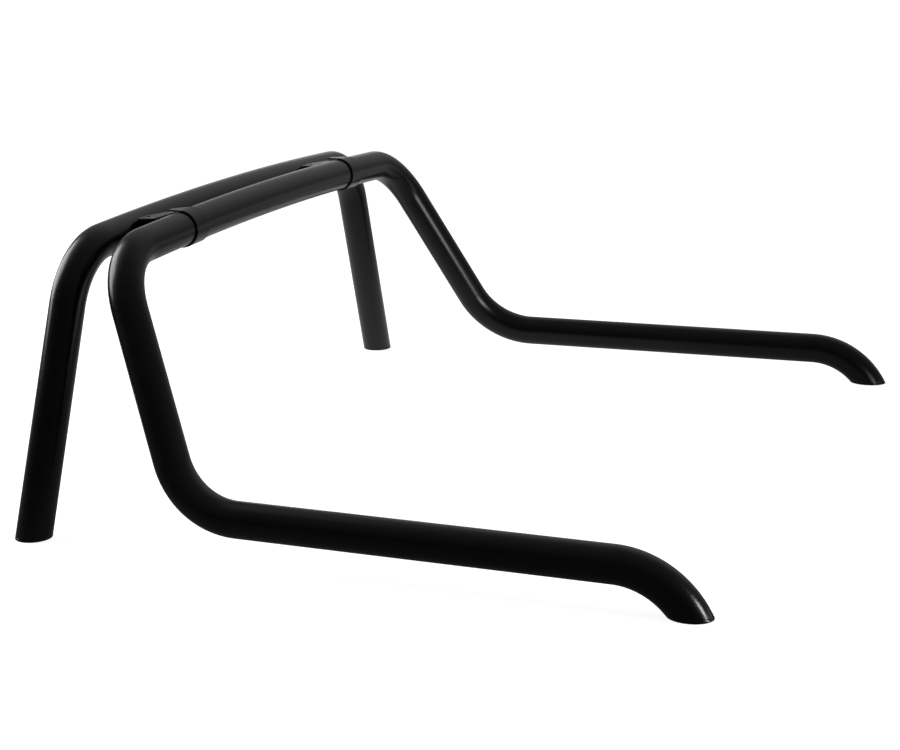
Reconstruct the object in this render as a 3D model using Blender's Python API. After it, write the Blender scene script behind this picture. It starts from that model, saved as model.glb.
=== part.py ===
"""Bolt-together sports bar for a pickup truck bed: two bent-tube hoops tied by two clamp brackets.

Blender 4.5, metres, +Z up, +Y towards the cab, +X to the truck's right.
The underside of the four foot plates is the plane z = 0.
"""
import math

import bmesh
import bpy
from mathutils import Matrix, Vector

MM = 0.001
GAP = 0.3 * MM                    # air left between pieces that touch

# Tube stock
TUBE_R = 31.75 * MM               # 63.5 mm outside diameter
WALL = 3.0 * MM
SIDES = 20                        # facets round a tube
BEND_STEP = math.radians(10.0)    # turn between two rings of a bend

# Both hoops: shoulder corners, where the crowned cross tube meets the line of the legs
CORNER_Z = 470.5 * MM
SHOULDER_BEND = 143.0 * MM        # centreline radius

# Front hoop, Y measured from the plane of its cross tube
FRONT_CORNER_X = 596.0 * MM
FRONT_FOOT_X = 770.0 * MM
FRONT_FOOT_Y = 7.0 * MM
FRONT_CROWN = 24.5 * MM

# Rear hoop and its arms
HOOP_PITCH = 95.5 * MM            # between the two cross tubes
REAR_CORNER_X = 622.5 * MM
REAR_CROWN = 27.0 * MM
KNEE_X = 763.0 * MM
KNEE_Y = -288.0 * MM
ARM_Z = 69.5 * MM
TOE_X = 784.5 * MM
TOE_Y = -1128.5 * MM
TOE_DROP = (3.7, -41.8, -82.6)    # direction of the turned-down end
LOWER_BEND = 150.0 * MM
TIP_REACH = 120.0 * MM            # drawn past the foot plane, then cut

# Feet
FOOT_T = 4.0 * MM
FOOT_HOLE_R = 5.5 * MM
FOOT_NUT_AF = 17.0 * MM
FOOT_NUT_H = 8.0 * MM
FOOT_NUT_BORE_R = 5.0 * MM
SLAB_REACH = 1.5                  # cutting slab, larger than the whole bar
SLAB_DEPTH = 0.2

# Clamp brackets at the joints of the rear hoop
JOINT_X = 357.0 * MM
STRAP_W = 51.0 * MM
STRAP_T = 2.5 * MM
STRAP_R = TUBE_R + 0.45 * MM      # inside radius
LIP_LONG = 24.0 * MM              # reach of the top edge ahead of the tube's crest, -X corner
LIP_SHORT = -12.0 * MM            # the same at the +X corner: it stops behind the crest
LIP_CLIP = 1.05                   # forward run per sideways run of the clipped +X corner
LIP_LOWER = 22.0 * MM
STRAP_ROWS = 10                   # sections along its width
STRAP_STEPS = 20                  # points round each section
SLEEVE_HALF = 80.0 * MM
SLEEVE_T = 3.0 * MM
SLEEVE_R = TUBE_R - WALL - 0.35 * MM
SCREW_X = 17.0 * MM               # each side of the joint
SCREW_R = 4.0 * MM
SCREW_LENGTH = 20.0 * MM
SCREW_TIP = 0.8 * MM              # chamfer
HEAD_R = 7.4 * MM
HEAD_H = 2.6 * MM
HEAD_SINK = 0.2 * MM              # how far its face is sunk into the strap
SOCKET_AF = 5.0 * MM
SOCKET_DEPTH = 2.0 * MM
HOLE_R = 4.5 * MM
NUT_AF = 13.0 * MM
NUT_H = 6.5 * MM
NUT_BORE_R = 4.3 * MM

# Bridge plate and its ribs, in the valley between the cross tubes
PLATE_TOP = 22.2 * MM             # above the rear tube's axis at the joint
PLATE_T = 5.0 * MM
PLATE_EDGE = (                    # mm towards +X from the joint, mm ahead of the rear tube's axis
    (-58.0, 35.5),
    (-68.0, 66.0),
    (-52.0, 69.2),
    (-20.0, 69.2),
    (5.0, 57.0),
    (24.0, 50.0),
    (24.0, 35.5),
)
PLATE_HOLE = (-41.0 * MM, 57.0 * MM)
RIB_T = 6.0 * MM
RIB_DROP = 0.6 * MM               # lower than the plate, as the ribs lean with the crown
RIB_X = 19.0 * MM                 # each side of the joint
RIB_ARC_STEPS = 10
RIB_CLEAR = 0.45 * MM             # round both tubes
RIB_HEEL = 8.0 * MM               # where its rear hollow ends, ahead of the tube's axis
RIB_SOLE = 12.0 * MM              # where its flat underside starts
RIB_FRONT_LOW = math.radians(-36.0)

BLACK_COAT = ("black_powder_coat", (0.018, 0.018, 0.020), 0.42, 0.0)
BARE_STEEL = ("plain_steel", (0.32, 0.32, 0.33), 0.45, 1.0)
ZINC = ("zinc_plated_steel", (0.55, 0.55, 0.52), 0.35, 1.0)


def clear_scene():
    for ob in list(bpy.data.objects):
        bpy.data.objects.remove(ob, do_unlink=True)


def material(finish):
    name, colour, roughness, metallic = finish
    mat = bpy.data.materials.get(name)
    if mat is None:
        mat = bpy.data.materials.new(name)
        mat.use_nodes = True
        shader = mat.node_tree.nodes["Principled BSDF"]
        shader.inputs["Base Color"].default_value = (*colour, 1.0)
        shader.inputs["Roughness"].default_value = roughness
        shader.inputs["Metallic"].default_value = metallic
    return mat


def add_object(name, bm, finish, smooth=True):
    """Close a bmesh into a named object with outward faces."""
    bmesh.ops.recalc_face_normals(bm, faces=bm.faces[:])
    mesh = bpy.data.meshes.new(name)
    bm.to_mesh(mesh)
    bm.free()
    if smooth:
        mesh.shade_smooth()
        mesh.set_sharp_from_angle(angle=math.radians(35.0))
    ob = bpy.data.objects.new(name, mesh)
    bpy.context.collection.objects.link(ob)
    ob.parent = bpy.data.objects["bed_plane"]
    if finish:
        mesh.materials.append(material(finish))
    return ob


def add_cutter(name, bm):
    ob = add_object(name, bm, None, smooth=False)
    ob.hide_render = True
    ob.display_type = "WIRE"
    return ob


def boolean(ob, cutter, operation="DIFFERENCE"):
    mod = ob.modifiers.new(cutter.name, "BOOLEAN")
    mod.operation = operation
    mod.solver = "EXACT"
    mod.object = cutter


# ---- centrelines: lists of (point, tangent), from the middle of the bar outwards ----

def front_corners():
    """Middle, shoulder and foot of the right half of the front hoop."""
    middle = Vector((0.0, 0.0, CORNER_Z + FRONT_CROWN))
    shoulder = Vector((FRONT_CORNER_X, 0.0, CORNER_Z))
    return middle, shoulder, Vector((FRONT_FOOT_X, FRONT_FOOT_Y, 0.0))


def rear_corners():
    """Middle, shoulder, knee, toe and tip of the right half of the rear hoop."""
    middle = Vector((0.0, -HOOP_PITCH, CORNER_Z + REAR_CROWN))
    shoulder = Vector((REAR_CORNER_X, -HOOP_PITCH, CORNER_Z))
    knee = Vector((KNEE_X, KNEE_Y, ARM_Z))
    toe = Vector((TOE_X, TOE_Y, ARM_Z))
    return middle, shoulder, knee, toe, toe + Vector(TOE_DROP).normalized() * TIP_REACH


def crown_station(corners, x):
    """A point at distance x from the middle of the arch that runs from one shoulder to the other."""
    middle, shoulder, after = corners[:3]
    u = (shoulder - middle).normalized()
    turn = u.angle(after - shoulder)
    start = shoulder - u * SHOULDER_BEND * math.tan(turn / 2)
    radius = -start.x / u.z
    centre_z = start.z - radius * u.x
    angle = math.asin(x / radius)
    point = Vector((x, start.y, centre_z + radius * math.cos(angle)))
    return point, Vector((math.cos(angle), 0.0, -math.sin(angle)))


def bend(before, corner, after, radius):
    """Stations of the arc that rounds a corner."""
    u = (corner - before).normalized()
    v = (after - corner).normalized()
    turn = u.angle(v)
    start = corner - u * radius * math.tan(turn / 2)
    inward = (v - u * v.dot(u)).normalized()
    centre = start + inward * radius
    steps = math.ceil(turn / BEND_STEP)
    stations = []
    for i in range(steps + 1):
        a = turn * i / steps
        point = centre - inward * radius * math.cos(a) + u * radius * math.sin(a)
        stations.append((point, u * math.cos(a) + inward * math.sin(a)))
    return stations


def front_half():
    middle, shoulder, foot = front_corners()
    crown = [crown_station(front_corners(), x) for x in (0.0, JOINT_X / 2, JOINT_X)]
    down = (foot - shoulder).normalized()
    end = (foot + down * TUBE_R, down)
    return crown + bend(middle, shoulder, foot, SHOULDER_BEND) + [end]


def rear_crown(x):
    return crown_station(rear_corners(), x)


def rear_arm():
    """From the joint, over the shoulder, down the leg and back along the bed rail."""
    middle, shoulder, knee, toe, tip = rear_corners()
    start = [rear_crown(JOINT_X + GAP), rear_crown(JOINT_X + SLEEVE_HALF)]
    down = bend(middle, shoulder, knee, SHOULDER_BEND)
    back = bend(shoulder, knee, toe, LOWER_BEND)
    end = bend(knee, toe, tip, LOWER_BEND)
    return start + down + back + end + [(tip, (tip - toe).normalized())]


def mirrored(stations):
    """The whole hoop from its right half, left end first."""
    flip = Matrix.Diagonal((-1.0, 1.0, 1.0))
    left = [(flip @ p, -(flip @ t)) for p, t in reversed(stations[1:])]
    return left + stations


def frames(stations, middle):
    """Untwisted side vector for each station, starting from +Y at the station called middle."""
    sides = [None] * len(stations)
    sides[middle] = Vector((0.0, 1.0, 0.0))
    for order in (range(middle + 1, len(stations)), range(middle - 1, -1, -1)):
        previous = middle
        for i in order:
            turn = stations[previous][1].rotation_difference(stations[i][1])
            sides[i] = turn @ sides[previous]
            previous = i
    return sides


# ---- shapes ----

def skin(bm, stations, sides, radius):
    """Rings of vertices along a centreline, joined by quads."""
    rings = []
    for (point, tangent), side in zip(stations, sides):
        up = tangent.cross(side).normalized()
        ring = []
        for k in range(SIDES):
            a = 2 * math.pi * k / SIDES
            ring.append(bm.verts.new(point + radius * (math.cos(a) * side + math.sin(a) * up)))
        rings.append(ring)
    for a, b in zip(rings, rings[1:]):
        join_rings(bm, a, b)
    return rings


def join_rings(bm, a, b):
    for k in range(len(a)):
        n = (k + 1) % len(a)
        bm.faces.new((a[k], a[n], b[n], b[k]))


def tube(name, stations, middle, radius, wall, finish, flip=False):
    """A hollow tube, open at both ends; flip makes the left-hand twin."""
    bm = bmesh.new()
    sides = frames(stations, middle)
    outer = skin(bm, stations, sides, radius)
    inner = skin(bm, stations, sides, radius - wall)
    join_rings(bm, outer[0], inner[0])
    join_rings(bm, outer[-1], inner[-1])
    if flip:
        bmesh.ops.transform(bm, matrix=Matrix.Diagonal((-1.0, 1.0, 1.0, 1.0)), verts=bm.verts[:])
    return add_object(name, bm, finish)


def rod(name, stations, middle, radius, finish, flip=False):
    """A solid stretch of the same centreline."""
    bm = bmesh.new()
    rings = skin(bm, stations, frames(stations, middle), radius)
    bm.faces.new(rings[0])
    bm.faces.new(rings[-1])
    if flip:
        bmesh.ops.transform(bm, matrix=Matrix.Diagonal((-1.0, 1.0, 1.0, 1.0)), verts=bm.verts[:])
    return add_object(name, bm, finish)


def prism(name, low, high, finish=None):
    """Two outlines with the same number of points, joined by flat sides."""
    bm = bmesh.new()
    a = [bm.verts.new(p) for p in low]
    b = [bm.verts.new(p) for p in high]
    bm.faces.new(a)
    bm.faces.new(b)
    join_rings(bm, a, b)
    return add_object(name, bm, finish) if finish else add_cutter(name, bm)


def ngon(sides, radius, z, phase=0.0):
    step = 2 * math.pi / sides
    return [
        Vector((radius * math.cos(phase + k * step), radius * math.sin(phase + k * step), z))
        for k in range(sides)
    ]


def box(name, low, high, finish=None):
    bottom = [Vector((x, y, low[2])) for x, y in outline_of(low, high)]
    top = [Vector((p.x, p.y, high[2])) for p in bottom]
    return prism(name, bottom, top, finish)


def outline_of(low, high):
    return ((low[0], low[1]), (high[0], low[1]), (high[0], high[1]), (low[0], high[1]))


def turned(name, profile, finish, sides=14):
    """A round solid from (radius, z) pairs, bottom to top."""
    bm = bmesh.new()
    rings = [[bm.verts.new(v) for v in ngon(sides, r, z)] for r, z in profile]
    for a, b in zip(rings, rings[1:]):
        join_rings(bm, a, b)
    bm.faces.new(rings[0])
    bm.faces.new(rings[-1])
    return add_object(name, bm, finish) if finish else add_cutter(name, bm)


def place(ob, point, slope=0.0):
    """Put a piece drawn at the origin at a point, tilted about Y to follow the crown."""
    ob.location = point
    ob.rotation_euler = (0.0, slope, 0.0)


# ---- sub-parts ----

def hex_nut(name, across_flats, height, bore_r):
    corner_r = across_flats / math.sqrt(3.0)
    nut = prism(name, ngon(6, corner_r, 0.0), ngon(6, corner_r, height), ZINC)
    bore = turned(name + "_bore", [(bore_r, -height), (bore_r, 2 * height)], None)
    boolean(nut, bore)
    return nut, bore


def countersunk_screw(name):
    """Head up the -Z way: flush face at z = 0, shank towards +Z."""
    screw = turned(
        name,
        [
            (HEAD_R, 0.0),
            (SCREW_R, HEAD_H),
            (SCREW_R, SCREW_LENGTH - SCREW_TIP),
            (SCREW_R - SCREW_TIP, SCREW_LENGTH),
        ],
        ZINC,
    )
    socket_r = SOCKET_AF / math.sqrt(3.0)
    below = ngon(6, socket_r, -SOCKET_DEPTH)
    socket = prism(name + "_socket", below, ngon(6, socket_r, SOCKET_DEPTH))
    boolean(screw, socket)
    return screw, socket


def foot_pieces(name, arm, middle, flip):
    """Foot plate cut from the tube's own outline, and the nut welded on top of it."""
    plate = rod("foot_plate_" + name, arm, middle, TUBE_R, BLACK_COAT, flip)
    boolean(plate, bpy.data.objects["foot_slab"], "INTERSECT")
    centre = foot_centre(arm)
    if flip:
        centre.x = -centre.x
    hole = turned(name + "_foot_hole", [(FOOT_HOLE_R, -FOOT_T), (FOOT_HOLE_R, 2 * FOOT_T)], None)
    place(hole, centre)
    boolean(plate, hole)
    nut, bore = hex_nut("foot_nut_" + name, FOOT_NUT_AF, FOOT_NUT_H, FOOT_NUT_BORE_R)
    for ob in (nut, bore):
        place(ob, centre + Vector((0.0, 0.0, FOOT_T + GAP)))


def foot_centre(stations):
    """Where the centreline meets the middle of the foot plate, dropped to z = 0."""
    level = FOOT_T / 2
    for (a, _), (b, _) in zip(stations, stations[1:]):
        if a.z >= level > b.z:
            point = a.lerp(b, (a.z - level) / (a.z - b.z))
            return Vector((point.x, point.y, 0.0))
    raise ValueError("the centreline never reaches the foot plane")


def add_slabs():
    corner = (SLAB_REACH, SLAB_REACH)
    away = (-SLAB_REACH, -SLAB_REACH)
    box("below_feet", (*away, -SLAB_DEPTH), (*corner, FOOT_T + GAP))
    box("foot_slab", (*away, 0.0), (*corner, FOOT_T))


def add_front_hoop():
    half = front_half()
    middle = len(half) - 1
    hoop = tube("front_hoop_tube", mirrored(half), middle, TUBE_R, WALL, BLACK_COAT)
    boolean(hoop, bpy.data.objects["below_feet"])
    for name, flip in (("front_right", False), ("front_left", True)):
        foot_pieces(name, half[-2:], 0, flip)


def add_rear_arms():
    arm = rear_arm()
    for side, flip in (("right", False), ("left", True)):
        piece = tube("rear_arm_" + side, arm, 0, TUBE_R, WALL, BLACK_COAT, flip)
        boolean(piece, bpy.data.objects["below_feet"])
        foot_pieces("rear_" + side, arm, 0, flip)


def add_cross_tube():
    half = [rear_crown(x) for x in (0.0, JOINT_X / 2, JOINT_X - SLEEVE_HALF, JOINT_X - GAP)]
    tube("rear_cross_tube", mirrored(half), 3, TUBE_R, WALL, BLACK_COAT)


def strap_outline(x, reach):
    """C-shaped section round the rear of the tube. Its top edge stops at reach ahead of the
    crest, on a flat lip, or behind the crest when reach is negative."""
    outer_r = STRAP_R + STRAP_T
    round_rear = math.pi * STRAP_R
    spots = [reach - (reach + round_rear) * i / STRAP_STEPS for i in range(STRAP_STEPS + 1)]
    points = [strap_point(u, outer_r) for u in spots]
    points += [(LIP_LOWER, -outer_r), (LIP_LOWER, -STRAP_R)]
    points += [strap_point(u, STRAP_R) for u in reversed(spots)]
    return [Vector((x, y, z)) for y, z in points]


def strap_point(u, radius):
    """Forward of the crest the strap is flat, behind it the strap follows the tube."""
    if u > 0.0:
        return u, radius
    a = math.pi / 2 - u / STRAP_R
    return radius * math.cos(a), radius * math.sin(a)


def strap_body(name):
    """The strap as a row of sections, with one corner of its top edge clipped."""
    bm = bmesh.new()
    rings = []
    for i in range(STRAP_ROWS):
        x = STRAP_W * (i / (STRAP_ROWS - 1) - 0.5)
        reach = min(LIP_LONG, LIP_SHORT + LIP_CLIP * (STRAP_W / 2 - x))
        rings.append([bm.verts.new(p) for p in strap_outline(x, reach)])
    for a, b in zip(rings, rings[1:]):
        join_rings(bm, a, b)
    bm.faces.new(rings[0])
    bm.faces.new(rings[-1])
    return add_object(name, bm, BLACK_COAT)


def rib_outline(x, front_drop):
    """Web between the two tubes: hollowed to both, its lower corner on the strap's lip."""
    clear_r = TUBE_R + RIB_CLEAR
    top = PLATE_TOP - PLATE_T - GAP - RIB_DROP
    bottom = -STRAP_R + GAP
    first = math.asin(top / clear_r)
    last = -math.acos(RIB_HEEL / clear_r)
    rear = [first + (last - first) * i / RIB_ARC_STEPS for i in range(RIB_ARC_STEPS + 1)]
    points = [(clear_r * math.cos(a), clear_r * math.sin(a)) for a in rear]
    points += [(RIB_SOLE, bottom), (LIP_LOWER, bottom)]
    low = RIB_FRONT_LOW
    high = math.asin((top + front_drop) / clear_r)
    front = [low + (high - low) * i / RIB_ARC_STEPS for i in range(RIB_ARC_STEPS + 1)]
    points += [
        (HOOP_PITCH - clear_r * math.cos(a), clear_r * math.sin(a) - front_drop) for a in front
    ]
    return [Vector((x, y, z)) for y, z in points]


def add_bracket(side, sign):
    """Strap, bridge plate and ribs round the joint at one end of the cross tube."""
    point, tangent = rear_crown(JOINT_X)
    slope = math.atan2(-tangent.z, tangent.x) * sign
    point.x *= sign
    strap = strap_body("joint_strap_" + side)
    place(strap, point, slope)
    front_point, _ = crown_station(front_corners(), JOINT_X)
    drop = point.z - front_point.z
    for label, x in (("outer", RIB_X * sign), ("inner", -RIB_X * sign)):
        rib = prism(
            f"bridge_rib_{side}_{label}",
            rib_outline(x - RIB_T / 2, drop),
            rib_outline(x + RIB_T / 2, drop),
            BLACK_COAT,
        )
        place(rib, point, slope)
    add_plate(side, point)
    add_joint(side, sign, point, slope, strap)


def add_plate(side, point):
    """A level ear with a bolt hole, reaching past the strap towards -X on both sides."""
    outline = [(x * MM, y * MM) for x, y in PLATE_EDGE]
    plate = prism(
        "bridge_plate_" + side,
        [Vector((x, y, PLATE_TOP - PLATE_T)) for x, y in outline],
        [Vector((x, y, PLATE_TOP)) for x, y in outline],
        BLACK_COAT,
    )
    place(plate, point)
    hole = turned("plate_hole_" + side, [(HOLE_R, 0.0), (HOLE_R, 2 * PLATE_TOP)], None)
    place(hole, point + Vector((*PLATE_HOLE, 0.0)))
    boolean(plate, hole)


def add_joint(side, sign, point, slope, strap):
    """Sleeve inside the joint, and the two screws that pin each tube end to it."""
    ends = (JOINT_X - SLEEVE_HALF, JOINT_X, JOINT_X + SLEEVE_HALF)
    stations = [rear_crown(x) for x in ends]
    sleeve = tube("joint_sleeve_" + side, stations, 1, SLEEVE_R, SLEEVE_T, BARE_STEEL, sign < 0)
    turn = Matrix.Rotation(slope, 3, "Y")
    outer_r = STRAP_R + STRAP_T
    targets = {"outer": "rear_arm_" + side, "inner": "rear_cross_tube"}
    for label, x in (("outer", SCREW_X * sign), ("inner", -SCREW_X * sign)):
        name = f"{side}_{label}"
        clearance = [(HOLE_R, -outer_r - MM), (HOLE_R, 0.0)]
        through = turned("through_" + name, clearance, None)
        seat_profile = [(HEAD_R + GAP + MM, -MM), (SCREW_R + GAP, HEAD_H), (HOLE_R, 2 * HEAD_H)]
        seat = turned("seat_" + name, seat_profile, None)
        screw, socket = countersunk_screw("joint_screw_" + name)
        nut, bore = hex_nut("joint_nut_" + name, NUT_AF, NUT_H, NUT_BORE_R)
        foot = Vector((x, 0.0, -outer_r + HEAD_SINK))
        place(through, point + turn @ Vector((x, 0.0, 0.0)), slope)
        for ob in (seat, screw, socket):
            place(ob, point + turn @ foot, slope)
        nut_z = -math.sqrt((SLEEVE_R - SLEEVE_T) ** 2 - (NUT_AF / math.sqrt(3.0)) ** 2) + 2 * GAP
        for ob in (nut, bore):
            place(ob, point + turn @ Vector((x, 0.0, nut_z)), slope)
        boolean(strap, seat)
        boolean(sleeve, through)
        boolean(bpy.data.objects[targets[label]], through)


def main():
    clear_scene()
    bed_plane = bpy.data.objects.new("bed_plane", None)
    bpy.context.collection.objects.link(bed_plane)
    add_slabs()
    add_front_hoop()
    add_rear_arms()
    add_cross_tube()
    add_bracket("right", 1)
    add_bracket("left", -1)
    centre_footprint(bed_plane)


def centre_footprint(bed_plane):
    """Slide the assembly along Y until the origin is in the middle of its length."""
    bpy.context.view_layer.update()
    depsgraph = bpy.context.evaluated_depsgraph_get()
    ys = []
    for name in ("front_hoop_tube", "foot_plate_rear_right", "rear_arm_right"):
        ob = bpy.data.objects[name].evaluated_get(depsgraph)
        ys += [v.co.y for v in ob.data.vertices]
    bed_plane.location.y = -(min(ys) + max(ys)) / 2


main()
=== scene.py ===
"""Looks for the truck-bed sports bar: fine tubes, brackets, welds, powder coat, studio and camera."""

import math

import bmesh
import bpy
from mathutils import Matrix, Vector

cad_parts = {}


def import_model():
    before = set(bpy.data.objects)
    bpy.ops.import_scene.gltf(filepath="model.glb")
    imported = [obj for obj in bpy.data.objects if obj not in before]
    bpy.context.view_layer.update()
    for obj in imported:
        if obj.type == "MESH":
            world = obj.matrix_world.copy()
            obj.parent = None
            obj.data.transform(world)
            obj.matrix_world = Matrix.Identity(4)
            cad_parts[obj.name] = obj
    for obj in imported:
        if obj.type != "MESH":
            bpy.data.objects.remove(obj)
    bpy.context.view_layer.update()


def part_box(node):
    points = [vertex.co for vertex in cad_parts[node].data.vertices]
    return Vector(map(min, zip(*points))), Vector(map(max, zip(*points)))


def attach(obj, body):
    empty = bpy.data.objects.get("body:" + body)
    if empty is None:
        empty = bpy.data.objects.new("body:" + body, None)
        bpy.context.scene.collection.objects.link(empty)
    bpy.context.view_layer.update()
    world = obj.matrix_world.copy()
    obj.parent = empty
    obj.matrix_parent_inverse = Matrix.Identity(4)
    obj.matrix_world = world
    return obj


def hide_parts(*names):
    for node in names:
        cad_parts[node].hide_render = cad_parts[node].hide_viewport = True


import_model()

MM = 0.001

# ---- the same driving dimensions as the CAD ----
TUBE_R = 31.75 * MM
WALL = 3.0 * MM
CORNER_Z = 470.5 * MM
SHOULDER_BEND = 143.0 * MM
FRONT_CORNER_X = 596.0 * MM
FRONT_FOOT_X = 770.0 * MM
FRONT_FOOT_Y = 7.0 * MM
FRONT_CROWN = 24.5 * MM
HOOP_PITCH = 95.5 * MM
REAR_CORNER_X = 622.5 * MM
REAR_CROWN = 27.0 * MM
KNEE_X = 763.0 * MM
KNEE_Y = -288.0 * MM
ARM_Z = 69.5 * MM
TOE_X = 784.5 * MM
TOE_Y = -1128.5 * MM
TOE_DROP = (3.7, -41.8, -82.6)    # direction of the turned-down end
TIP_REACH = 120.0 * MM            # drawn past the foot plane, then cut
FOOT_REACH = 40.0 * MM            # the same for the front feet
LOWER_BEND = 150.0 * MM
FOOT_T = 4.0 * MM
FOOT_HOLE_R = 5.5 * MM
JOINT_X = 357.0 * MM
STRAP_W = 51.0 * MM
STRAP_T = 2.5 * MM
STRAP_R = TUBE_R + 0.45 * MM      # inside radius
LIP_LONG = 24.0 * MM              # reach of the top edge ahead of the tube's crest, -X corner
LIP_SHORT = -12.0 * MM            # the same at the +X corner: it stops behind the crest
LIP_CLIP = 1.05                   # forward run per sideways run of the clipped +X corner
LIP_LOWER = 22.0 * MM
SLEEVE_HALF = 80.0 * MM
SLEEVE_T = 3.0 * MM
SLEEVE_R = TUBE_R - WALL - 0.35 * MM
PLATE_TOP = 22.2 * MM             # above the axis of the rear tube at the joint
PLATE_T = 5.0 * MM
PLATE_EDGE = (                    # mm, towards +X from the joint, and ahead of the rear tube's axis
    (-58.0, 35.5),
    (-68.0, 66.0),
    (-52.0, 69.2),
    (-20.0, 69.2),
    (5.0, 57.0),
    (24.0, 50.0),
    (24.0, 35.5),
)
PLATE_HOLE = (-41.0 * MM, 57.0 * MM)
HOLE_R = 4.5 * MM
RIB_T = 6.0 * MM
RIB_DROP = 0.6 * MM               # lower than the plate, as the ribs lean with the crown
RIB_X = 19.0 * MM
RIB_CLEAR = 0.45 * MM
RIB_HEEL = 8.0 * MM               # where its rear hollow ends, ahead of the rear tube's axis
RIB_SOLE = 12.0 * MM              # where its flat underside starts
RIB_FRONT_LOW = math.radians(-36.0)
SCREW_X = 17.0 * MM
SCREW_R = 4.0 * MM
SCREW_LENGTH = 20.0 * MM
THREAD_PITCH = 1.25 * MM
THREAD_DEPTH = 0.45 * MM
THREAD_ROOT = 0.35                # where a thread is deepest and fullest, as parts of its pitch
THREAD_CREST = 0.8
SCREW_TIP = 0.9 * MM              # chamfer
HEAD_R = 7.4 * MM
HEAD_LAND = 0.3 * MM              # chamfer round its face
HEAD_H = 2.6 * MM
HEAD_SINK = 0.2 * MM              # how far its face is sunk into the strap
SOCKET_AF = 5.0 * MM
SOCKET_DEPTH = 2.0 * MM
GAP = 0.3 * MM                    # air left between pieces that touch
JOINT_NUT = (13.0 * MM, 6.5 * MM, 4.3 * MM)   # across flats, height, bore radius
FOOT_NUT = (17.0 * MM, 8.0 * MM, 5.0 * MM)

# ---- fineness and eased edges of the visual pieces ----
SKIN_R = TUBE_R - 0.06 * MM       # keeps the round tubes inside the box of the faceted ones
SIDES = 96
BEND_STEP = math.radians(2.0)
CROWN_STEPS = 12
STRAP_ROWS = 15
STRAP_STEPS = 60
RIB_STEPS = 28
HOLE_SIDES = 40
BORE_SIDES = 32
SCREW_SIDES = 36
BEAD_SIDES = 16
CORNER_STEPS = 6
CORNER_SHARE = 0.45               # the most of an edge that a rounded corner takes
BEAD_R = 2.2 * MM
BEAD_ASIDE = 0.5 * MM             # from the rib's face to the middle of the bead
BEAD_REAR = slice(2, -6)          # the part of each hollow of a rib that is welded
BEAD_FRONT = slice(2, -2)
BEAD_END = 0.35                   # radius of its first section, as a part of the full one
BEAD_SWELL = 0.4                  # gained with each section after that
BEAD_RIPPLE = 0.10                # of the radius
BEAD_WAVE = 2.1                   # radians of ripple from section to section
JOINT_SEAM = 0.5 * MM
WELD_GAP = 0.15 * MM
RIM_EASE = 0.5 * MM
STRAP_EASE = 0.7 * MM
RIB_EASE = 0.5 * MM
PLATE_EASE = 0.6 * MM
PLATE_CORNER = 6.0 * MM
NUT_EASE = 0.6 * MM
RIM_ANGLE = math.radians(25.0)    # sharper edges than these are eased
EDGE_ANGLE = math.radians(28.0)
TUBE_SHARP = math.radians(30.0)   # sharper edges than these stay crisp in the shading
EASED_SHARP = math.radians(40.0)
FLUSH = 0.01 * MM                 # slack when a vertex is tested for lying on a level
CUT_SLACK = 0.001 * MM            # for a vertex on the saw line

# The CAD centres its footprint on the origin: the rear cross tube gives the shift along Y
REAR_Y = (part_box("rear_cross_tube")[0][1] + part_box("rear_cross_tube")[1][1]) / 2
FRONT_Y = REAR_Y + HOOP_PITCH


def world(x, y, z):
    """A point whose Y is measured from the front cross tube."""
    return Vector((x, y + FRONT_Y, z))


# ---- centrelines: (point, tangent) from the middle outwards ----

def front_corners():
    middle = world(0.0, 0.0, CORNER_Z + FRONT_CROWN)
    shoulder = world(FRONT_CORNER_X, 0.0, CORNER_Z)
    return middle, shoulder, world(FRONT_FOOT_X, FRONT_FOOT_Y, 0.0)


def rear_corners():
    middle = world(0.0, -HOOP_PITCH, CORNER_Z + REAR_CROWN)
    shoulder = world(REAR_CORNER_X, -HOOP_PITCH, CORNER_Z)
    knee = world(KNEE_X, KNEE_Y, ARM_Z)
    toe = world(TOE_X, TOE_Y, ARM_Z)
    return middle, shoulder, knee, toe, toe + Vector(TOE_DROP).normalized() * TIP_REACH


def crown_start(corners):
    """Where the crowned cross tube runs into its shoulder bend, and its direction there."""
    middle, shoulder, after = corners[:3]
    u = (shoulder - middle).normalized()
    turn = u.angle(after - shoulder)
    return shoulder - u * SHOULDER_BEND * math.tan(turn / 2), u


def crown_station(corners, x):
    """Point and tangent of the crown's arc at one distance from the middle."""
    start, u = crown_start(corners)
    radius = -start.x / u.z
    angle = math.asin(x / radius)
    point = Vector((x, start.y, start.z - radius * u.x + radius * math.cos(angle)))
    return point, Vector((math.cos(angle), 0.0, -math.sin(angle)))


def crown(corners, x0, x1):
    run = x1 - x0
    return [crown_station(corners, x0 + run * i / CROWN_STEPS) for i in range(CROWN_STEPS + 1)]


def bend(before, corner, after, radius):
    """Stations round the bend that eases one corner."""
    u = (corner - before).normalized()
    v = (after - corner).normalized()
    turn = u.angle(v)
    start = corner - u * radius * math.tan(turn / 2)
    inward = (v - u * v.dot(u)).normalized()
    centre = start + inward * radius
    steps = math.ceil(turn / BEND_STEP)
    stations = []
    for i in range(steps + 1):
        a = turn * i / steps
        point = centre - inward * radius * math.cos(a) + u * radius * math.sin(a)
        stations.append((point, u * math.cos(a) + inward * math.sin(a)))
    return stations


def front_half():
    middle, shoulder, foot_end = front_corners()
    start = crown_start(front_corners())[0]
    down = (foot_end - shoulder).normalized()
    route = crown(front_corners(), 0.0, start.x)[:-1]
    route += bend(middle, shoulder, foot_end, SHOULDER_BEND)
    return route + [(foot_end + down * FOOT_REACH, down)]


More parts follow.
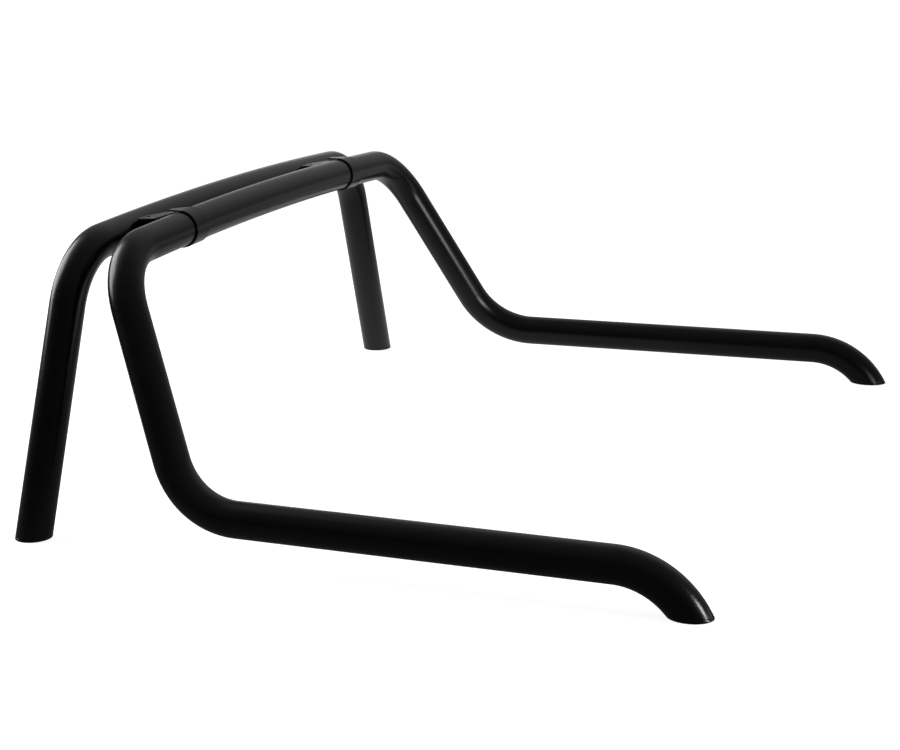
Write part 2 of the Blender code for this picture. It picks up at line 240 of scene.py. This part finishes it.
def rear_arm():
    middle, shoulder, knee, toe, tip = rear_corners()
    start = crown_start(rear_corners())[0]
    route = crown(rear_corners(), JOINT_X + JOINT_SEAM / 2, start.x)[:-1]
    route += bend(middle, shoulder, knee, SHOULDER_BEND)
    route += bend(shoulder, knee, toe, LOWER_BEND)
    route += bend(knee, toe, tip, LOWER_BEND)
    return route + [(tip, (tip - toe).normalized())]


def mirrored(stations):
    """The whole route from its right half."""
    flip = Matrix.Diagonal((-1.0, 1.0, 1.0))
    left = [(flip @ p, -(flip @ t)) for p, t in reversed(stations[1:])]
    return left + stations


# ---- meshes ----

def frames(stations, middle):
    """A side direction for each station, carried along without twist from the middle one."""
    sides = [None] * len(stations)
    sides[middle] = Vector((0.0, 1.0, 0.0))
    for order in (range(middle + 1, len(stations)), range(middle - 1, -1, -1)):
        previous = middle
        for i in order:
            turn = stations[previous][1].rotation_difference(stations[i][1])
            sides[i] = turn @ sides[previous]
            previous = i
    return sides


def ring(bm, point, tangent, side, radius):
    """A circle of vertices square to the tangent."""
    up = tangent.cross(side).normalized()
    out = []
    for k in range(SIDES):
        a = 2 * math.pi * k / SIDES
        out.append(bm.verts.new(point + radius * (math.cos(a) * side + math.sin(a) * up)))
    return out


def join(bm, a, b):
    """A band of faces between two rings."""
    for k in range(len(a)):
        n = (k + 1) % len(a)
        bm.faces.new((a[k], a[n], b[n], b[k]))


def finish(name, bm, mat, flip=False, sharp=TUBE_SHARP):
    """Turn a bmesh into a piece of the object, mirrored to the left side with flip."""
    if flip:
        bmesh.ops.transform(bm, matrix=Matrix.Diagonal((-1.0, 1.0, 1.0, 1.0)), verts=bm.verts[:])
    bmesh.ops.recalc_face_normals(bm, faces=bm.faces[:])
    if bm.calc_volume(signed=True) < 0:
        bmesh.ops.reverse_faces(bm, faces=bm.faces[:])
    mesh = bpy.data.meshes.new(name)
    bm.to_mesh(mesh)
    bm.free()
    mesh.shade_smooth()
    mesh.set_sharp_from_angle(angle=sharp)
    ob = bpy.data.objects.new(name, mesh)
    bpy.context.scene.collection.objects.link(ob)
    mesh.materials.append(mat)
    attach(ob, "root")
    return ob


def skin(bm, stations, middle, radius):
    """An open pipe along the stations. Returns its rings."""
    sides = frames(stations, middle)
    rings = [ring(bm, p, t, side, radius) for (p, t), side in zip(stations, sides)]
    for a, b in zip(rings, rings[1:]):
        join(bm, a, b)
    return rings


def cut_level(bm, z, keep_above=True):
    """Saw a mesh at a level, drop one side, and return the edges of the saw line."""
    result = bmesh.ops.bisect_plane(
        bm,
        geom=bm.verts[:] + bm.edges[:] + bm.faces[:],
        plane_co=(0.0, 0.0, z),
        plane_no=(0.0, 0.0, 1.0),
        clear_inner=keep_above,
        clear_outer=not keep_above,
        dist=CUT_SLACK,
    )
    return [e for e in result["geom_cut"] if isinstance(e, bmesh.types.BMEdge)]


def ease(bm, width, angle, segments):
    """Round the edges that are sharper than an angle."""
    edges = [e for e in bm.edges if e.is_manifold and e.calc_face_angle(0.0) > angle]
    bmesh.ops.bevel(
        bm,
        geom=edges,
        offset=width,
        segments=segments,
        profile=0.5,
        affect="EDGES",
        clamp_overlap=True,
    )


def tube(name, stations, middle, cut, mat, flip=False, radii=(SKIN_R, TUBE_R - WALL)):
    """A hollow tube. With cut it is sawn level just above its foot plates. Middle is the number
    of a station where it runs square to Y; if that is the first, it has a square end there."""
    bm = bmesh.new()
    loops = []
    for radius in radii:
        rings = skin(bm, stations, middle, radius)
        loops.append((rings[0], rings[-1]))
    if not cut or middle == 0:
        join(bm, loops[0][0], loops[1][0])
    if not cut:
        join(bm, loops[0][1], loops[1][1])
    else:
        saw = cut_level(bm, FOOT_T + WELD_GAP)
        for left in (True, False):
            ends = [e for e in saw if (e.verts[0].co.x < 0) == left]
            if ends:
                bmesh.ops.bridge_loops(bm, edges=ends)
    ease(bm, RIM_EASE, RIM_ANGLE, 2)
    return finish(name, bm, mat, flip)


def bevelled(name, bm, mat, width, matrix):
    """Round the sharp edges of a piece drawn at the origin and move it into place."""
    bmesh.ops.recalc_face_normals(bm, faces=bm.faces[:])
    ease(bm, width, EDGE_ANGLE, 3)
    bmesh.ops.transform(bm, matrix=matrix, verts=bm.verts[:])
    return finish(name, bm, mat, sharp=EASED_SHARP)


def loft(rows):
    """Sections with the same number of points, joined into one closed body."""
    bm = bmesh.new()
    rings = [[bm.verts.new(p) for p in row] for row in rows]
    for a, b in zip(rings, rings[1:]):
        join(bm, a, b)
    bm.faces.new(rings[0])
    bm.faces.new(rings[-1])
    return bm


def circle(x, y, radius, sides):
    step = 2 * math.pi / sides
    return [(x + radius * math.cos(k * step), y + radius * math.sin(k * step)) for k in range(sides)]


def hexagon(across_flats):
    return circle(0.0, 0.0, hex_corner(across_flats), 6)


def hex_corner(across_flats):
    return across_flats / math.sqrt(3.0)


def slab(outline, holes, z0, z1):
    """A flat plate between two levels, with holes through it."""
    bm = bmesh.new()
    levels = []
    for z in (z0, z1):
        loops = []
        edges = []
        for shape in [outline] + holes:
            verts = [bm.verts.new((x, y, z)) for x, y in shape]
            edges += [bm.edges.new((verts[k - 1], verts[k])) for k in range(len(verts))]
            loops.append(verts)
        bmesh.ops.triangle_fill(bm, edges=edges, use_beauty=True)
        levels.append(loops)
    for low, high in zip(*levels):
        join(bm, low, high)
    return bm


# ---- materials ----

def node(tree, kind, **inputs):
    """A new node with some of its inputs set: From_Min names the input called From Min."""
    n = tree.nodes.new(kind)
    for key, value in inputs.items():
        n.inputs[key.replace("_", " ")].default_value = value
    return n


def ramp(tree, stops):
    """A colour ramp through (position, colour) stops."""
    n = tree.nodes.new("ShaderNodeValToRGB")
    while len(n.color_ramp.elements) < len(stops):
        n.color_ramp.elements.new(0.5)
    for stop, (position, colour) in zip(n.color_ramp.elements, stops):
        stop.position = position
        stop.color = (*colour, 1.0)
    return n


def maths(tree, source, kind, operation, other):
    """The result of a maths node on a socket and a fixed vector or another socket."""
    n = tree.nodes.new(kind)
    n.operation = operation
    tree.links.new(source, n.inputs[0])
    if isinstance(other, tuple):
        n.inputs[1].default_value = other
    else:
        tree.links.new(other, n.inputs[1])
    return n.outputs["Value"]


def powder_coat():
    """Satin black powder coat: fine orange peel, faint mottling of gloss and tone."""
    mat = bpy.data.materials.new("powder_coat")
    mat.use_nodes = True
    tree = mat.node_tree
    link = tree.links.new
    shader = tree.nodes["Principled BSDF"]
    coord = tree.nodes.new("ShaderNodeTexCoord")

    peel = node(tree, "ShaderNodeTexNoise", Scale=420.0, Detail=3.0, Roughness=0.55)
    grit = node(tree, "ShaderNodeTexNoise", Scale=1900.0, Detail=2.0, Roughness=0.5)
    cloud = node(tree, "ShaderNodeTexNoise", Scale=9.0, Detail=4.0, Roughness=0.6)
    for texture in (peel, grit, cloud):
        link(coord.outputs["Object"], texture.inputs["Vector"])

    tone = ramp(tree, ((0.30, (0.0024, 0.0024, 0.0028)), (0.72, (0.0042, 0.0042, 0.0048))))
    link(cloud.outputs["Fac"], tone.inputs["Fac"])
    link(tone.outputs["Color"], shader.inputs["Base Color"])

    gloss = node(
        tree, "ShaderNodeMapRange", From_Min=0.3, From_Max=0.7, To_Min=0.22, To_Max=0.27
    )
    link(cloud.outputs["Fac"], gloss.inputs["Value"])
    link(gloss.outputs["Result"], shader.inputs["Roughness"])

    height = tree.nodes.new("ShaderNodeMix")
    height.data_type = "FLOAT"
    height.inputs[0].default_value = 0.35
    link(peel.outputs["Fac"], height.inputs[2])
    link(grit.outputs["Fac"], height.inputs[3])
    bump = node(tree, "ShaderNodeBump", Strength=0.10, Distance=0.0004)
    link(height.outputs[0], bump.inputs["Height"])
    link(bump.outputs["Normal"], shader.inputs["Normal"])
    shader.inputs["Metallic"].default_value = 0.0
    shader.inputs["IOR"].default_value = 1.50
    return mat


def steel(name, colour, roughness, scale):
    """Bare or plated steel with drawn lines and a mottled tone."""
    mat = bpy.data.materials.new(name)
    mat.use_nodes = True
    tree = mat.node_tree
    link = tree.links.new
    shader = tree.nodes["Principled BSDF"]
    coord = tree.nodes.new("ShaderNodeTexCoord")
    stretch = tree.nodes.new("ShaderNodeMapping")
    stretch.inputs["Scale"].default_value = (0.06, 1.0, 1.0)
    link(coord.outputs["Object"], stretch.inputs["Vector"])
    lines = node(tree, "ShaderNodeTexNoise", Scale=scale, Detail=4.0, Roughness=0.6)
    link(stretch.outputs["Vector"], lines.inputs["Vector"])
    tone = ramp(tree, ((0.0, [c * 0.72 for c in colour]), (1.0, colour)))
    link(lines.outputs["Fac"], tone.inputs["Fac"])
    link(tone.outputs["Color"], shader.inputs["Base Color"])
    gloss = node(
        tree, "ShaderNodeMapRange", To_Min=roughness - 0.08, To_Max=roughness + 0.10
    )
    link(lines.outputs["Fac"], gloss.inputs["Value"])
    link(gloss.outputs["Result"], shader.inputs["Roughness"])
    bump = node(tree, "ShaderNodeBump", Strength=0.15, Distance=0.0003)
    link(lines.outputs["Fac"], bump.inputs["Height"])
    link(bump.outputs["Normal"], shader.inputs["Normal"])
    shader.inputs["Metallic"].default_value = 1.0
    return mat


# ---- studio ----

CAMERA_AT = (-3.72936, -1.31571, 1.11709)
CAMERA_AZ = math.radians(-69.107)
CAMERA_EL = math.radians(13.671)
CAMERA_ROLL = math.radians(-0.67)
CAMERA_LENS = 83.513
SENSOR = 36.0
CLIP_END = 60.0
LIGHT_TINT = (0.93, 0.96, 1.0)
WORLD_TINT = (0.98, 0.99, 1.02)
WORLD_WAY = (0.85, 0.05, 0.52)    # the surround grows brighter towards this direction
WORLD_STOPS = ((0.20, 0.040), (0.5, 0.085), (0.7, 0.11), (0.8, 0.13), (0.9, 0.17), (1.0, 0.36))
FLOOR_RADIUS = 30.0
FLOOR_SIDES = 96
FLOOR_DROP = 0.5 * MM
FLOOR_GLOW = 0.89                 # lifts the floor that the camera sees
# Painted light on the floor, which only the tubes see: a glowing patch round the point below that
# fades over its reach, a glow that grows along X, and painted shade, dim, elsewhere
PAINTED_POOL_AT = (1.2, 1.2, 0.0)
PAINTED_POOL_REACH = 3.5
PAINTED_POOL_STOPS = ((0.0, 0.56), (0.23, 0.50), (0.32, 0.30), (0.42, 0.22), (0.52, 0.12), (0.72, 0.055))
PAINTED_GLOW_X = (0.6, 2.4)           # the floor's painted glow grows over this stretch
PAINTED_GLOW_LEVEL = 0.28


def add_camera():
    """The camera looks along the azimuth and elevation, turned a little about its own axis."""
    flat = math.cos(CAMERA_EL)
    back = Vector(
        (math.sin(CAMERA_AZ) * flat, -math.cos(CAMERA_AZ) * flat, math.sin(CAMERA_EL))
    )
    right = (-back).cross(Vector((0.0, 0.0, 1.0))).normalized()
    up = right.cross(-back)
    x = right * math.cos(CAMERA_ROLL) + up * math.sin(CAMERA_ROLL)
    y = up * math.cos(CAMERA_ROLL) - right * math.sin(CAMERA_ROLL)
    data = bpy.data.cameras.new("camera")
    data.sensor_width = SENSOR
    data.lens = CAMERA_LENS
    data.clip_end = CLIP_END
    cam = bpy.data.objects.new("camera", data)
    bpy.context.scene.collection.objects.link(cam)
    turn = Matrix((x, y, back)).transposed().to_4x4()
    cam.matrix_world = Matrix.Translation(Vector(CAMERA_AT)) @ turn
    bpy.context.scene.camera = cam


def area(name, at, aim, size, radiance, spread=180.0):
    """A soft rectangular light, hidden from the camera, given by its brightness."""
    data = bpy.data.lights.new(name, "AREA")
    data.shape = "RECTANGLE"
    data.size, data.size_y = size
    data.energy = radiance * math.pi * size[0] * size[1]
    data.spread = math.radians(spread)
    data.color = LIGHT_TINT
    ob = bpy.data.objects.new(name, data)
    bpy.context.scene.collection.objects.link(ob)
    ob.location = at
    ob.rotation_euler = (Vector(aim) - Vector(at)).to_track_quat("-Z", "Y").to_euler()
    ob.visible_camera = False


def add_lights():
    """A large softbox off the front with two dimmer ones above it, low panels and two strips."""
    left = (-0.6, 0.59, 0.45)
    area("softbox", (0.10, 3.76, 1.80), left, (2.5, 2.45), 4.2)
    area("softbox_high", (-0.05, 2.7, 3.0), left, (2.3, 1.0), 0.55)
    area("softbox_top", (-0.25, 1.9, 3.6), left, (2.2, 0.9), 0.12)
    area("side_panel", (2.2, 1.75, 0.68), (0.0, 0.5, 0.47), (1.6, 0.75), 0.6)
    area("rear_panel", (0.1, -2.4, 0.25), (-0.74, 0.59, 0.2), (2.6, 0.5), 0.5)
    area("strip", (-0.53, -1.9, 0.5), (0.67, 0.37, 0.25), (0.85, 1.1), 0.44, 45.0)
    area("strip_low", (-0.62, -1.95, 0.70), (-0.78, -0.6, 0.05), (0.3, 0.4), 1.4, 45.0)


def add_world():
    """A dim surround that brightens towards the far side. The camera sees plain white."""
    world_data = bpy.data.worlds.new("studio")
    bpy.context.scene.world = world_data
    world_data.use_nodes = True
    tree = world_data.node_tree
    tree.nodes.clear()
    link = tree.links.new
    coord = tree.nodes.new("ShaderNodeTexCoord")
    towards = maths(
        tree, coord.outputs["Generated"], "ShaderNodeVectorMath", "DOT_PRODUCT", WORLD_WAY
    )
    half = node(tree, "ShaderNodeMapRange", From_Min=-1.0)
    link(towards, half.inputs["Value"])
    shade = ramp(tree, [(at, [level * c for c in WORLD_TINT]) for at, level in WORLD_STOPS])
    link(half.outputs["Result"], shade.inputs["Fac"])
    surround = tree.nodes.new("ShaderNodeBackground")
    link(shade.outputs["Color"], surround.inputs["Color"])
    plain = node(tree, "ShaderNodeBackground", Color=(1.0, 1.0, 1.0, 1.0), Strength=1.0)
    out = tree.nodes.new("ShaderNodeOutputWorld")
    split_for_camera(tree, surround.outputs[0], plain.outputs[0], out.inputs["Surface"])


def split_for_camera(tree, for_rays, for_camera, surface):
    """One shader for what the tubes reflect, another for what the camera sees directly."""
    path = tree.nodes.new("ShaderNodeLightPath")
    mix = tree.nodes.new("ShaderNodeMixShader")
    tree.links.new(path.outputs["Is Camera Ray"], mix.inputs[0])
    tree.links.new(for_rays, mix.inputs[1])
    tree.links.new(for_camera, mix.inputs[2])
    tree.links.new(mix.outputs["Shader"], surface)


def add_floor():
    """A wide pale sheet. The camera sees it lifted to the white of the surround; the tubes see
    painted light and shade on it.
    """
    bm = bmesh.new()
    bmesh.ops.create_circle(bm, cap_ends=True, segments=FLOOR_SIDES, radius=FLOOR_RADIUS)
    mesh = bpy.data.meshes.new("floor")
    bm.to_mesh(mesh)
    bm.free()
    ob = bpy.data.objects.new("floor", mesh)
    bpy.context.scene.collection.objects.link(ob)
    ob.location.z = -FLOOR_DROP
    mesh.materials.append(floor_paper_painted_light())


def floor_paper_painted_light():
    """Pale paper for the camera; for the tubes, glowing painted light and painted shade across it."""
    mat = bpy.data.materials.new("floor_paper_painted_light")
    mat.use_nodes = True
    tree = mat.node_tree
    link = tree.links.new
    shader = tree.nodes["Principled BSDF"]
    grain = node(tree, "ShaderNodeTexNoise", Scale=3.0, Detail=2.0)
    tone = ramp(tree, ((0.0, (0.90, 0.90, 0.90)), (1.0, (0.94, 0.94, 0.94))))
    link(grain.outputs["Fac"], tone.inputs["Fac"])
    link(tone.outputs["Color"], shader.inputs["Base Color"])
    shader.inputs["Roughness"].default_value = 0.9
    shader.inputs["Emission Color"].default_value = (1.0, 1.0, 1.0, 1.0)
    shader.inputs["Emission Strength"].default_value = FLOOR_GLOW

    # What the tubes see of the floor: painted light that glows in a patch across the studio, and
    # painted shade, dim, elsewhere
    place = tree.nodes.new("ShaderNodeNewGeometry").outputs["Position"]
    away = maths(tree, place, "ShaderNodeVectorMath", "DISTANCE", PAINTED_POOL_AT)
    span = node(tree, "ShaderNodeMapRange", From_Max=PAINTED_POOL_REACH)
    link(away, span.inputs["Value"])
    painted_pool = ramp(tree, [(at, (level, level, level)) for at, level in PAINTED_POOL_STOPS])
    link(span.outputs["Result"], painted_pool.inputs["Fac"])
    split = tree.nodes.new("ShaderNodeSeparateXYZ")
    link(place, split.inputs["Vector"])
    start, end = PAINTED_GLOW_X
    painted_glow = node(
        tree, "ShaderNodeMapRange", From_Min=start, From_Max=end, To_Max=PAINTED_GLOW_LEVEL
    )
    link(split.outputs["X"], painted_glow.inputs["Value"])
    brighter = maths(
        tree, painted_pool.outputs["Color"], "ShaderNodeMath", "MAXIMUM", painted_glow.outputs["Result"]
    )
    painted_glow_shader = tree.nodes.new("ShaderNodeEmission")
    link(brighter, painted_glow_shader.inputs["Strength"])
    surface = tree.nodes["Material Output"].inputs["Surface"]
    split_for_camera(tree, painted_glow_shader.outputs[0], shader.outputs[0], surface)
    return mat


# ---- pieces ----

def foot(name, stations, coat, zinc, flip):
    """Foot plate, ground flush with the tube, with a bolt hole, and the nut on top of it."""
    bm = bmesh.new()
    skin(bm, stations, 0, SKIN_R)
    cut_level(bm, 0.0)
    cut_level(bm, FOOT_T, keep_above=False)
    centre = sum((v.co for v in bm.verts), Vector()) / len(bm.verts)
    rings = []
    for level in (0.0, FOOT_T):
        outline = [e for e in bm.edges if all(abs(v.co.z - level) < FLUSH for v in e.verts)]
        spots = circle(*centre.xy, FOOT_HOLE_R, HOLE_SIDES)
        hole = [bm.verts.new((x, y, level)) for x, y in spots]
        edges = [bm.edges.new((hole[k - 1], hole[k])) for k in range(len(hole))]
        bmesh.ops.triangle_fill(bm, edges=outline + edges, use_beauty=True)
        rings.append(hole)
    join(bm, rings[0], rings[1])
    ease(bm, RIM_EASE, RIM_ANGLE, 2)
    piece = finish("foot_cap_" + name, bm, coat, flip)
    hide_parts("foot_plate_" + name)
    if flip:
        centre.x = -centre.x
    at = Matrix.Translation((centre.x, centre.y, FOOT_T + GAP))
    nut("nut_foot_" + name, "foot_nut_" + name, FOOT_NUT, at, zinc)


def strap_rows():
    """Sections of the strap across its width; the +X corner of its top edge is clipped."""
    rows = []
    for i in range(STRAP_ROWS):
        x = STRAP_W * (i / (STRAP_ROWS - 1) - 0.5)
        reach = min(LIP_LONG, LIP_SHORT + LIP_CLIP * (STRAP_W / 2 - x))
        whole = reach + math.pi * STRAP_R
        spots = [reach - whole * k / STRAP_STEPS for k in range(STRAP_STEPS + 1)]
        outer_r = STRAP_R + STRAP_T
        points = [strap_point(u, outer_r) for u in spots]
        points += [(LIP_LOWER, -outer_r), (LIP_LOWER, -STRAP_R)]
        points += [strap_point(u, STRAP_R) for u in reversed(spots)]
        rows.append([Vector((x, y, z)) for y, z in points])
    return rows


def strap_point(u, radius):
    """Forward of the crest the strap is flat, behind it the strap follows the tube."""
    if u > 0.0:
        return u, radius
    a = math.pi / 2 - u / STRAP_R
    return radius * math.cos(a), radius * math.sin(a)


def rib_arcs(front_drop):
    """The hollows of a rib against the rear and the front tube, as (y, z) pairs."""
    clear_r = TUBE_R + RIB_CLEAR
    top = PLATE_TOP - PLATE_T - GAP - RIB_DROP
    first = math.asin(top / clear_r)
    last = -math.acos(RIB_HEEL / clear_r)
    high = math.asin((top + front_drop) / clear_r)
    rear = []
    front = []
    for i in range(RIB_STEPS + 1):
        part = i / RIB_STEPS
        a = first + (last - first) * part
        rear.append((clear_r * math.cos(a), clear_r * math.sin(a)))
        a = RIB_FRONT_LOW + (high - RIB_FRONT_LOW) * part
        front.append((HOOP_PITCH - clear_r * math.cos(a), clear_r * math.sin(a) - front_drop))
    return rear, front


def rib(x, front_drop):
    """Web between the two tubes, its lower corner on the strap's lip."""
    rear, front = rib_arcs(front_drop)
    bottom = -STRAP_R + GAP
    outline = rear + [(RIB_SOLE, bottom), (LIP_LOWER, bottom)] + front
    rows = [[Vector((x + side * RIB_T / 2, y, z)) for y, z in outline] for side in (-1, 1)]
    return loft(rows)


def bead(x, path, phase):
    """A rippled weld bead along a path of (y, z) pairs beside a rib."""
    rows = []
    last = len(path) - 1
    for i in range(last + 1):
        before = Vector(path[max(i - 1, 0)])
        after = Vector(path[min(i + 1, last)])
        along = (after - before).normalized()
        across = Vector((0.0, -along.y, along.x))
        swell = min(1.0, BEAD_END + BEAD_SWELL * min(i, last - i))
        radius = BEAD_R * swell * (1.0 + BEAD_RIPPLE * math.sin(BEAD_WAVE * i + phase))
        centre = Vector((x, *path[i]))
        spots = circle(0.0, 0.0, radius, BEAD_SIDES)
        rows.append([centre + Vector((u, 0.0, 0.0)) + v * across for u, v in spots])
    return loft(rows)


def rounded(outline, run):
    """An outline with its corners rounded off."""
    points = []
    count = len(outline)
    for k in range(count):
        corner = Vector(outline[k])
        before = Vector(outline[k - 1]) - corner
        after = Vector(outline[(k + 1) % count]) - corner
        a = corner + before.normalized() * min(run, CORNER_SHARE * before.length)
        b = corner + after.normalized() * min(run, CORNER_SHARE * after.length)
        for i in range(CORNER_STEPS + 1):
            t = i / CORNER_STEPS
            points.append(((1 - t) ** 2 * a + 2 * t * (1 - t) * corner + t * t * b)[:])
    return points


def nut(name, cad_name, size, matrix, zinc):
    """A hexagon nut with eased edges and a bore."""
    across_flats, height, bore_r = size
    bore = circle(0.0, 0.0, bore_r, BORE_SIDES)
    bm = slab(hexagon(across_flats), [bore], 0.0, height)
    piece = bevelled(name, bm, zinc, NUT_EASE, matrix)
    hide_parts(cad_name)


def screw(name, cad_name, matrix, zinc):
    """Countersunk socket screw, head at z = 0 and shank towards +Z, with turned threads."""
    profile = [(HEAD_R - HEAD_LAND, 0.0), (HEAD_R, HEAD_LAND), (SCREW_R, HEAD_H)]
    for i in range(int((SCREW_LENGTH - HEAD_H) / THREAD_PITCH)):
        z = HEAD_H + THREAD_PITCH * i
        profile.append((SCREW_R - THREAD_DEPTH, z + THREAD_ROOT * THREAD_PITCH))
        profile.append((SCREW_R, z + THREAD_CREST * THREAD_PITCH))
    profile.append((SCREW_R - SCREW_TIP, SCREW_LENGTH))

    bm = bmesh.new()
    rings = []
    for r, z in profile:
        rings.append([bm.verts.new((x, y, z)) for x, y in circle(0.0, 0.0, r, SCREW_SIDES)])
    for a, b in zip(rings, rings[1:]):
        join(bm, a, b)
    bm.faces.new(rings[-1])
    mouth = [bm.verts.new((x, y, 0.0)) for x, y in hexagon(SOCKET_AF)]
    floor = [bm.verts.new((x, y, SOCKET_DEPTH)) for x, y in hexagon(SOCKET_AF)]
    face = rings[0]
    rim_edges = [bm.edges.get((face[k - 1], face[k])) for k in range(SCREW_SIDES)]
    rim_edges += [bm.edges.new((mouth[k - 1], mouth[k])) for k in range(len(mouth))]
    bmesh.ops.triangle_fill(bm, edges=rim_edges, use_beauty=True)
    join(bm, mouth, floor)
    bm.faces.new(floor)
    bmesh.ops.transform(bm, matrix=matrix, verts=bm.verts[:])
    piece = finish(name, bm, zinc, sharp=EASED_SHARP)
    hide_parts(cad_name)


def bracket(side, sign, coat, bare, zinc):
    """Everything round the joint at one end of the rear cross tube."""
    point, tangent = crown_station(rear_corners(), JOINT_X)
    slope = math.atan2(-tangent.z, tangent.x) * sign
    point.x *= sign
    here = Matrix.Translation(point) @ Matrix.Rotation(slope, 4, "Y")
    strap = bevelled("strap_" + side, loft(strap_rows()), coat, STRAP_EASE, here)
    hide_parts("joint_strap_" + side)

    drop = point.z - crown_station(front_corners(), JOINT_X)[0].z
    rear_arc, front_arc = rib_arcs(drop)
    for label, x in (("outer", RIB_X * sign), ("inner", -RIB_X * sign)):
        piece = bevelled(f"rib_{side}_{label}", rib(x, drop), coat, RIB_EASE, here)
        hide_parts(f"bridge_rib_{side}_{label}")
        for face in (-1, 1):
            beside = x + face * (RIB_T / 2 + BEAD_ASIDE)
            for where, arc in (("rear", rear_arc[BEAD_REAR]), ("front", front_arc[BEAD_FRONT])):
                bm = bead(beside, arc, x + face)
                bmesh.ops.transform(bm, matrix=here, verts=bm.verts[:])
                finish(f"weld_{side}_{label}_{where}_{'b' if face > 0 else 'a'}", bm, coat)

    outline = rounded([(x * MM, y * MM) for x, y in PLATE_EDGE], PLATE_CORNER)
    hole = circle(*PLATE_HOLE, HOLE_R, HOLE_SIDES)
    bm = slab(outline, [hole], PLATE_TOP - PLATE_T, PLATE_TOP)
    plate = bevelled("plate_" + side, bm, coat, PLATE_EASE, Matrix.Translation(point))
    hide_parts("bridge_plate_" + side)

    ends = crown(rear_corners(), JOINT_X - SLEEVE_HALF, JOINT_X + SLEEVE_HALF)
    radii = (SLEEVE_R, SLEEVE_R - SLEEVE_T)
    sleeve = tube("sleeve_" + side, ends, 0, False, bare, sign < 0, radii)
    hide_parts("joint_sleeve_" + side)

    head_z = -STRAP_R - STRAP_T + HEAD_SINK
    nut_reach = hex_corner(JOINT_NUT[0])
    nut_z = -math.sqrt((SLEEVE_R - SLEEVE_T) ** 2 - nut_reach ** 2) + 2 * GAP
    for label, x in (("outer", SCREW_X * sign), ("inner", -SCREW_X * sign)):
        name = f"{side}_{label}"
        at = here @ Matrix.Translation((x, 0.0, head_z))
        screw("screw_" + name, "joint_screw_" + name, at, zinc)
        at = here @ Matrix.Translation((x, 0.0, nut_z))
        nut("nut_" + name, "joint_nut_" + name, JOINT_NUT, at, zinc)


def main():
    coat = powder_coat()
    bare = steel("drawn_steel", (0.30, 0.30, 0.31), 0.42, 900.0)
    zinc = steel("zinc_plate", (0.62, 0.62, 0.58), 0.30, 500.0)

    route = front_half()
    hoop = tube("front_hoop", mirrored(route), len(route) - 1, True, coat)
    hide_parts("front_hoop_tube")
    for side, flip in (("right", False), ("left", True)):
        foot("front_" + side, route, coat, zinc, flip)

    route = rear_arm()
    for side, flip in (("right", False), ("left", True)):
        piece = tube("arm_" + side, route, 0, True, coat, flip)
        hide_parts("rear_arm_" + side)
        foot("rear_" + side, route, coat, zinc, flip)

    mid = crown(rear_corners(), 0.0, JOINT_X - JOINT_SEAM / 2)
    cross = tube("rear_cross", mirrored(mid), len(mid) - 1, False, coat)
    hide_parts("rear_cross_tube")
    for side, sign in (("right", 1), ("left", -1)):
        bracket(side, sign, coat, bare, zinc)

    add_world()
    add_lights()
    add_floor()
    add_camera()
    view = bpy.context.scene.view_settings
    view.view_transform = "Standard"
    view.look = "None"
    view.exposure = 0.0
    view.gamma = 1.0


main()
